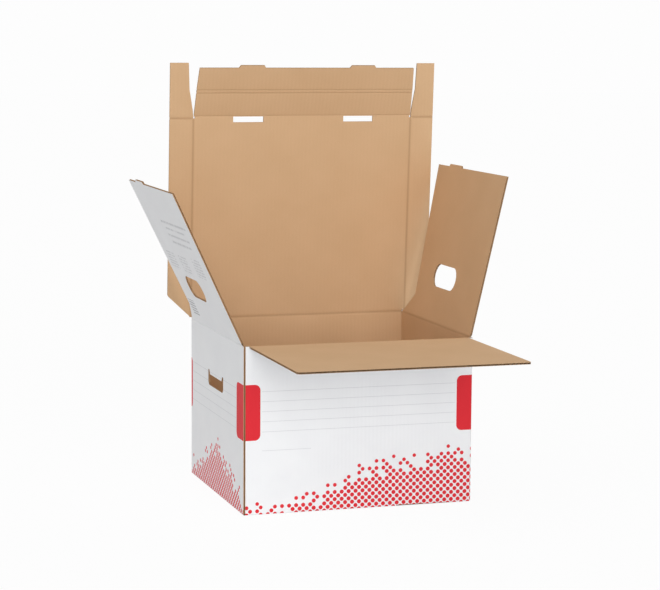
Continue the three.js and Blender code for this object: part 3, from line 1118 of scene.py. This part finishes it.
def makeCrease(name, bodies, place, kinds, span, fold=0.0, slot="kraft_board", deepest=creaseStrip["deepest"],
               innerSpan=None, flutes="along"):
    # place is the second body's frame, and fold its angle to the first one at rest
    middle = place @ Matrix.Rotation(-radians(fold) / 2, 4, "X")
    sides = [(sign, creaseKinds[kind], sign * radians(fold) / 2) for sign, kind in zip((-1, 1), kinds)]
    ends, inner, pointShades = [], [], []
    for sign, kind, angle in sides:
        away = sign * kind["strip"]
        face = outerFace + dipAt(*kind["outer"], kind["strip"])
        ends.append((away * cos(angle) - face * sin(angle), away * sin(angle) + face * cos(angle)))
        for share in creaseStrip["innerPlaces"][::-sign]:
            away = kind["innerEnd"] * share
            face = innerFace - dipAt(*kind["inner"], away)
            away *= sign
            inner.append((away * cos(angle) - face * sin(angle), away * sin(angle) + face * cos(angle)))
            # painted crease shade for this point of the inner ribbon
            pointShades.append(min(1.0, (innerFace - face) / kraft["fullShadeDepth"]))
    (startAngle, startRadius), (endAngle, endRadius) = ((atan2(y, -z), hypot(y, z)) for y, z in ends)
    outer = []
    for step in range(creaseStrip["steps"] + 1):
        share = step / creaseStrip["steps"]
        angle = startAngle + (endAngle - startAngle) * share
        edge = startRadius + (endRadius - startRadius) * share
        radius = deepest + (edge - deepest) * abs(2 * share - 1) ** creaseStrip["soften"]
        outer.append((radius * sin(angle), -radius * cos(angle)))
    ribbon = {"mesh": emptyBoard(), "frame": middle, "flutes": flutes}
    creaseRibbon(ribbon, outer, span, 1)
    creaseRibbon(ribbon, inner, innerSpan or span, 0, pointShades)
    piece = finishPiece(name, asData(name, ribbon["mesh"]), ["kraft", "white", "raw"], None, slot)
    bend = min(abs(y) for y, z in ends)
    bend = min(bend, *(kind["innerEnd"] - creaseStrip["bendInset"] for sign, kind, angle in sides))
    bend = max(creaseStrip["bendLeast"], bend)
    start, end = (middle @ Vector((0, away, 0)) / 1000 for away in (-bend, bend))
    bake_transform(piece, bodies[0], bodies[1], tuple(start), tuple(end))


frontSpan = (frontLiner["right"] + creaseStrip["endGap"], frontLiner["left"] - creaseStrip["endGap"])
rims = [
    ("left_liner", 90, sideLiner["leftLean"], (-158.4, 159.2), "printed_board", 2.2, None),
    ("right_liner", -90, sideLiner["rightLean"], (-159.2, 158.4), "printed_board", 2.2, None),
    ("front_liner", 180, frontLiner["lean"], frontSpan, "kraft_board", 1.1, None),
    ("lid", 0, lid["lean"], (-186.8, 186.8), "kraft_board", 2.2, (-184.4, 184.4)),
]
for body, heading, lean, span, slot, deepest, innerSpan in rims:
    makeCrease(body + "_crease", ("box", body), rimFrame(heading, lean), ("rim", "rim"), span, -lean, slot, deepest,
               innerSpan)
for word, side in (("left", -1), ("right", 1)):
    strip, tab = word + "_strip", word + "_corner_tab"
    last = stripEnd - creaseStrip["endGap"]
    span, innerSpan = (sorted((-side * first, -side * last))
                       for first in (creaseStrip["sideStart"], lid["rootStart"] + creaseStrip["sideInnerStart"]))
    makeCrease(f"lid_{strip}_crease", ("lid", strip), stripFrame(side), ("side", "side"), span, innerSpan=innerSpan,
               flutes="across")
    span = sorted((side * creaseStrip["tabStart"], side * (lid["strip"] - creaseStrip["lipGap"])))
    makeCrease(f"lid_{tab}_crease", (strip, tab), cornerTabFrame(side), ("side", "side"), span)
for bodies, place, kinds, half, fold in (
    (("lid", "lip"), lipFrame, ("lidSlot", "lip"), lipSide, lid["lipFold"]),
    (("lip", "rim_band"), bandFrame, ("band", "band"), bandSide, 0.0),
    (("rim_band", "tuck_panel"), tuckFrame, ("band", "band"), bandSide, 0.0),
):
    half -= creaseStrip["lipGap"]
    makeCrease(f"lid_{bodies[1]}_crease", bodies, place, kinds, (-half, half), fold)
print("creases made")

# camera, light and ground

view = {"lens": 116.18, "yaw": 17.670, "pitch": 7.188, "roll": 0.415, "place": (-1037.3, -3265.3, 748.6),
        "sensor": 36.0, "farthest": 60.0}
yaw, pitch, roll = (radians(view[key]) for key in ("yaw", "pitch", "roll"))
ahead = Vector((sin(yaw) * cos(pitch), cos(yaw) * cos(pitch), -sin(pitch)))
levelRight = Vector((cos(yaw), -sin(yaw), 0))
levelUp = levelRight.cross(ahead)
right = levelRight * cos(roll) + levelUp * sin(roll)
up = levelUp * cos(roll) - levelRight * sin(roll)
camera = added("camera", bpy.data.cameras.new("camera"))
camera.data.lens = view["lens"]
camera.data.sensor_width = view["sensor"]
camera.data.sensor_fit = "HORIZONTAL"
camera.data.clip_end = view["farthest"]
turned = Matrix((right, up, -ahead)).transposed().to_4x4()
camera.matrix_world = Matrix.Translation(Vector(view["place"]) / 1000) @ turned
bpy.context.scene.camera = camera

ground = {"size": 40.0, "tone": (0.88, 0.88, 0.88, 1.0), "glow": 0.94}
studio = {"tone": (1.0, 1.0, 1.0, 1.0), "fill": 0.42, "seen": 0.983}


def seenPlain(tree, lit, bright, glow, output):
    # what the camera, gloss and glass see is a plain pale tone, and everything else meets the lit surface
    wiring = Wiring(tree)
    rays = wiring.node("ShaderNodeLightPath").outputs
    seen = anyOf([Signal(wiring, rays[name]) for name in ("Is Camera Ray", "Is Glossy Ray", "Is Transmission Ray")])
    first, second = (wiring.node(kind, values=values).outputs[0] for kind, values in (lit, bright))
    picked = wiring.node("ShaderNodeMixShader", values={0: seen * glow, 1: first, 2: second})
    wiring.node(output, values={0: picked.outputs[0]})


floorMesh = bmesh.new()
bmesh.ops.create_grid(floorMesh, x_segments=1, y_segments=1, size=ground["size"] / 2)
floorData = asData("floor", floorMesh)
floor = added("floor", floorData)
pale = bpy.data.materials.new("paleFloor")
pale.use_nodes = True
seenPlain(pale.node_tree, ("ShaderNodeBsdfDiffuse", {0: ground["tone"]}), ("ShaderNodeEmission", {}), ground["glow"],
          "ShaderNodeOutputMaterial")
floorData.materials.append(pale)

world = bpy.data.worlds.new("studio")
bpy.context.scene.world = world
world.use_nodes = True
seenPlain(world.node_tree, ("ShaderNodeBackground", {0: studio["tone"], 1: studio["fill"]}),
          ("ShaderNodeBackground", {0: studio["tone"], 1: studio["seen"]}), 1.0, "ShaderNodeOutputWorld")

lamps = {
    "key": {"place": (-0.2, -3.3, 0.95), "aim": (0, 0, 0.3), "spread": 38.0, "strength": 1.47},
    "side": {"place": (-1.4, -1.0, 3.1), "aim": (0, 0, 0.3), "spread": 60.0, "strength": 0.95},
}
for name, lamp in lamps.items():
    light = added(name, bpy.data.lights.new(name, "SUN"))
    light.data.angle = radians(lamp["spread"])
    light.data.energy = lamp["strength"]
    light.location = lamp["place"]
    light.rotation_euler = (Vector(lamp["aim"]) - Vector(lamp["place"])).to_track_quat("-Z", "Y").to_euler()
bpy.context.scene.view_settings.view_transform = "Standard"
print("camera and light set")
